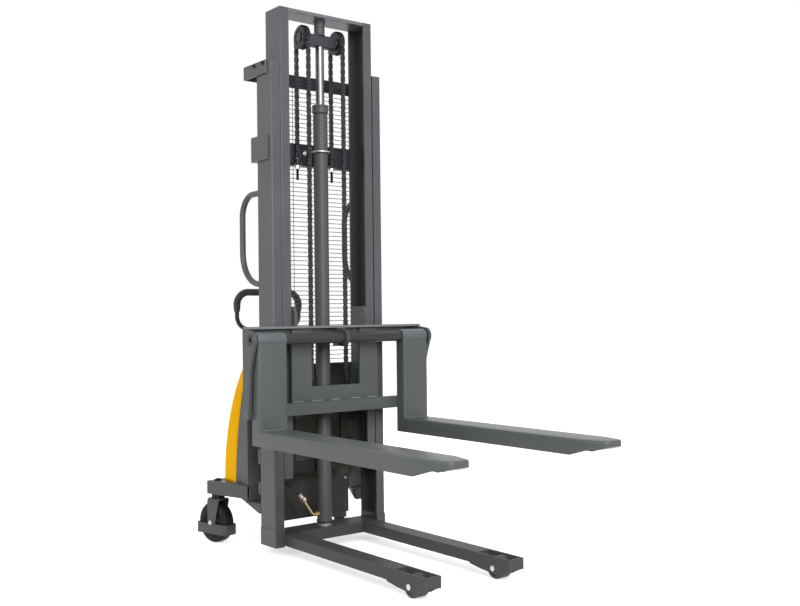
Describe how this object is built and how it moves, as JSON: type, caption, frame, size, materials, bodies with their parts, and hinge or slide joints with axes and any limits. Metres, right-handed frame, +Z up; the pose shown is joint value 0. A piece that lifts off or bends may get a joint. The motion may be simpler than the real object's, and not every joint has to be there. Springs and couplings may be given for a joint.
{
  "type": "semi-electric stacker",
  "caption": "Hand-pushed pallet stacker: two-stage chain mast with a hydraulic cylinder, forks that slide on a round bar, straddle legs, a yellow rear cover and a tiller loop.",
  "frame": {"origin": "on the floor under the middle of the whole machine's bounding box", "axes": "+X to the left of someone who stands at the tiller and looks along the forks, -Y the way the forks point, +Z up"},
  "size_m": [0.912, 1.8075, 2.313],
  "materials": {
    "grey_paint": "semi-gloss grey paint",
    "dark_paint": "satin charcoal paint",
    "yellow_paint": "gloss yellow paint",
    "roller_steel": "turned bearing steel, lightly oiled",
    "chain_steel": "oiled leaf chain steel",
    "rod_chrome": "ground and hard-chromed",
    "zinc": "bright zinc plate",
    "brass": "yellow passivated fitting",
    "hose_rubber": "matt black hose",
    "grip_rubber": "soft black sleeve",
    "load_roller": "dark nylon tread",
    "caster_tread": "dark nylon wheel",
    "panel_plastic": "black textured panel",
    "stop_red": "red moulded button",
    "key_metal": "nickel plate",
    "knob_black": "black ball knob",
    "battery_case": "black battery case",
    "tank_plastic": "natural oil tank",
    "motor_black": "black motor enamel",
    "valve_aluminium": "milled aluminium block",
    "wire_grey": "grey coated wire"
  },
  "bodies": {
    "chassis": {"outer_rails": "grey_paint", "top_tie_beam": "grey_paint", "mid_tie_beam": "grey_paint", "base_crossbeam": "grey_paint", "legs": "grey_paint", "chassis_arms": "grey_paint", "rear_tray": "dark_paint", "front_panel": "dark_paint", "side_panels": "grey_paint", "rear_cover": "yellow_paint", "control_panel": "panel_plastic", "mesh_guard": "wire_grey", "grab_handles": "grey_paint", "lift_cylinder": "grey_paint", "cylinder_gland": "grey_paint", "cylinder_clamp": "zinc", "mast_chain_bolts": "zinc", "battery": "battery_case", "pump_motor": "motor_black", "oil_tank": "tank_plastic", "valve_block": "valve_aluminium", "pressure_hose": "hose_rubber", "pipe_fittings": "brass", "load_roller_axles": "zinc", "tiller_bracket": "grey_paint", "tiller_pin": "zinc", "rear_chain_runs": "chain_steel"},
    "inner_mast": {"inner_rails": "grey_paint", "inner_top_plate": "grey_paint", "inner_lower_tie": "grey_paint", "crosshead": "grey_paint", "piston_rod": "rod_chrome", "chain_wraps": "chain_steel", "front_chain_runs": "chain_steel"},
    "carriage": {"carriage_plate": "grey_paint", "carriage_top_beam": "grey_paint", "carriage_lower_bar": "grey_paint", "carriage_end_plates": "grey_paint", "roller_plates": "grey_paint", "fork_bar": "grey_paint", "carriage_chain_bolts": "zinc"},
    "tiller": {"tiller_handle": "grey_paint", "tiller_grip": "grip_rubber"},
    "sheave_left": {"sheave_left": "roller_steel"},
    "sheave_right": {"sheave_right": "roller_steel"},
    "mast_rollers_lower": {"mast_rollers_lower": "roller_steel"},
    "mast_rollers_upper": {"mast_rollers_upper": "roller_steel"},
    "carriage_rollers_lower": {"carriage_rollers_lower": "roller_steel"},
    "carriage_rollers_upper": {"carriage_rollers_upper": "roller_steel"},
    "fork_left": {"fork_left": "grey_paint"},
    "fork_right": {"fork_right": "grey_paint"},
    "load_roller_left": {"load_roller_left": "load_roller"},
    "load_roller_right": {"load_roller_right": "load_roller"},
    "caster_yoke_left": {"caster_yoke_left": "grey_paint"},
    "caster_yoke_right": {"caster_yoke_right": "grey_paint"},
    "caster_wheel_left": {"caster_wheel_left": "caster_tread"},
    "caster_wheel_right": {"caster_wheel_right": "caster_tread"},
    "lift_lever": {"lift_lever": "knob_black"},
    "emergency_stop": {"emergency_stop": "stop_red"},
    "key_switch": {"key_switch": "key_metal"}
  },
  "joints": [
    {"name": "mast_lift", "type": "slide", "parent": "chassis", "child": "inner_mast", "axis": [0, 0, 1], "range_m": [-0.225, 1.225], "deforming": ["rear_chain_runs"]},
    {"name": "carriage_lift", "type": "slide", "parent": "inner_mast", "child": "carriage", "axis": [0, 0, 1], "range_m": [-0.225, 1.225], "deforming": ["front_chain_runs"]},
    {"name": "sheave_left_turn", "type": "hinge", "parent": "inner_mast", "child": "sheave_left", "pos_m": [-0.09, 0.42525, 2.215], "axis": [1, 0, 0], "continuous": true},
    {"name": "sheave_right_turn", "type": "hinge", "parent": "inner_mast", "child": "sheave_right", "pos_m": [0.09, 0.42525, 2.215], "axis": [1, 0, 0], "continuous": true},
    {"name": "mast_lower_rollers_turn", "type": "hinge", "parent": "inner_mast", "child": "mast_rollers_lower", "pos_m": [0, 0.42525, 0.395], "axis": [1, 0, 0], "continuous": true},
    {"name": "mast_upper_rollers_turn", "type": "hinge", "parent": "inner_mast", "child": "mast_rollers_upper", "pos_m": [0, 0.42525, 0.75], "axis": [1, 0, 0], "continuous": true},
    {"name": "carriage_lower_rollers_turn", "type": "hinge", "parent": "carriage", "child": "carriage_rollers_lower", "pos_m": [0, 0.42525, 0.64], "axis": [1, 0, 0], "continuous": true},
    {"name": "carriage_upper_rollers_turn", "type": "hinge", "parent": "carriage", "child": "carriage_rollers_upper", "pos_m": [0, 0.42525, 0.995], "axis": [1, 0, 0], "continuous": true},
    {"name": "fork_left_slide", "type": "slide", "parent": "carriage", "child": "fork_left", "axis": [1, 0, 0], "range_m": [0, 0.28]},
    {"name": "fork_right_slide", "type": "slide", "parent": "carriage", "child": "fork_right", "axis": [-1, 0, 0], "range_m": [0, 0.28]},
    {"name": "load_roller_left_turn", "type": "hinge", "parent": "chassis", "child": "load_roller_left", "pos_m": [-0.2025, -0.46775, 0.042], "axis": [1, 0, 0], "continuous": true},
    {"name": "load_roller_right_turn", "type": "hinge", "parent": "chassis", "child": "load_roller_right", "pos_m": [0.2025, -0.46775, 0.042], "axis": [1, 0, 0], "continuous": true},
    {"name": "caster_left_swivel", "type": "hinge", "parent": "chassis", "child": "caster_yoke_left", "pos_m": [-0.326, 0.78825, 0.194], "axis": [0, 0, 1], "continuous": true},
    {"name": "caster_right_swivel", "type": "hinge", "parent": "chassis", "child": "caster_yoke_right", "pos_m": [0.326, 0.78825, 0.194], "axis": [0, 0, 1], "continuous": true},
    {"name": "caster_left_roll", "type": "hinge", "parent": "caster_yoke_left", "child": "caster_wheel_left", "pos_m": [-0.3289, 0.79989, 0.09], "axis": [0.9703, 0.2419, 0], "continuous": true},
    {"name": "caster_right_roll", "type": "hinge", "parent": "caster_yoke_right", "child": "caster_wheel_right", "pos_m": [0.33288, 0.79808, 0.09], "axis": [0.8192, -0.5736, 0], "continuous": true},
    {"name": "tiller_tilt", "type": "hinge", "parent": "chassis", "child": "tiller", "pos_m": [0, 0.88725, 0.25], "axis": [-1, 0, 0], "range_deg": [0, 75]},
    {"name": "lever_tilt", "type": "hinge", "parent": "chassis", "child": "lift_lever", "pos_m": [0, 0.707, 0.69857], "axis": [1, 0, 0], "range_deg": [-20, 20], "stiffness_Nm_per_rad": 4},
    {"name": "stop_press", "type": "slide", "parent": "chassis", "child": "emergency_stop", "axis": [0, 0.8636, 0.5042], "range_m": [-0.004, 0]},
    {"name": "key_turn", "type": "hinge", "parent": "chassis", "child": "key_switch", "pos_m": [-0.085, 0.69232, 0.69], "axis": [0, 0.8636, 0.5042], "range_deg": [0, 90]}
  ],
  "couplings": [
    {"joint": "carriage_lift", "follows": "mast_lift", "ratio": 1},
    {"joint": "sheave_left_turn", "follows": "mast_lift", "rad_per_m": -20.833},
    {"joint": "sheave_right_turn", "follows": "mast_lift", "rad_per_m": -20.833},
    {"joint": "mast_lower_rollers_turn", "follows": "mast_lift", "rad_per_m": -19.802},
    {"joint": "mast_upper_rollers_turn", "follows": "mast_lift", "rad_per_m": 19.802},
    {"joint": "carriage_lower_rollers_turn", "follows": "mast_lift", "rad_per_m": -19.802},
    {"joint": "carriage_upper_rollers_turn", "follows": "mast_lift", "rad_per_m": 19.802}
  ]
}
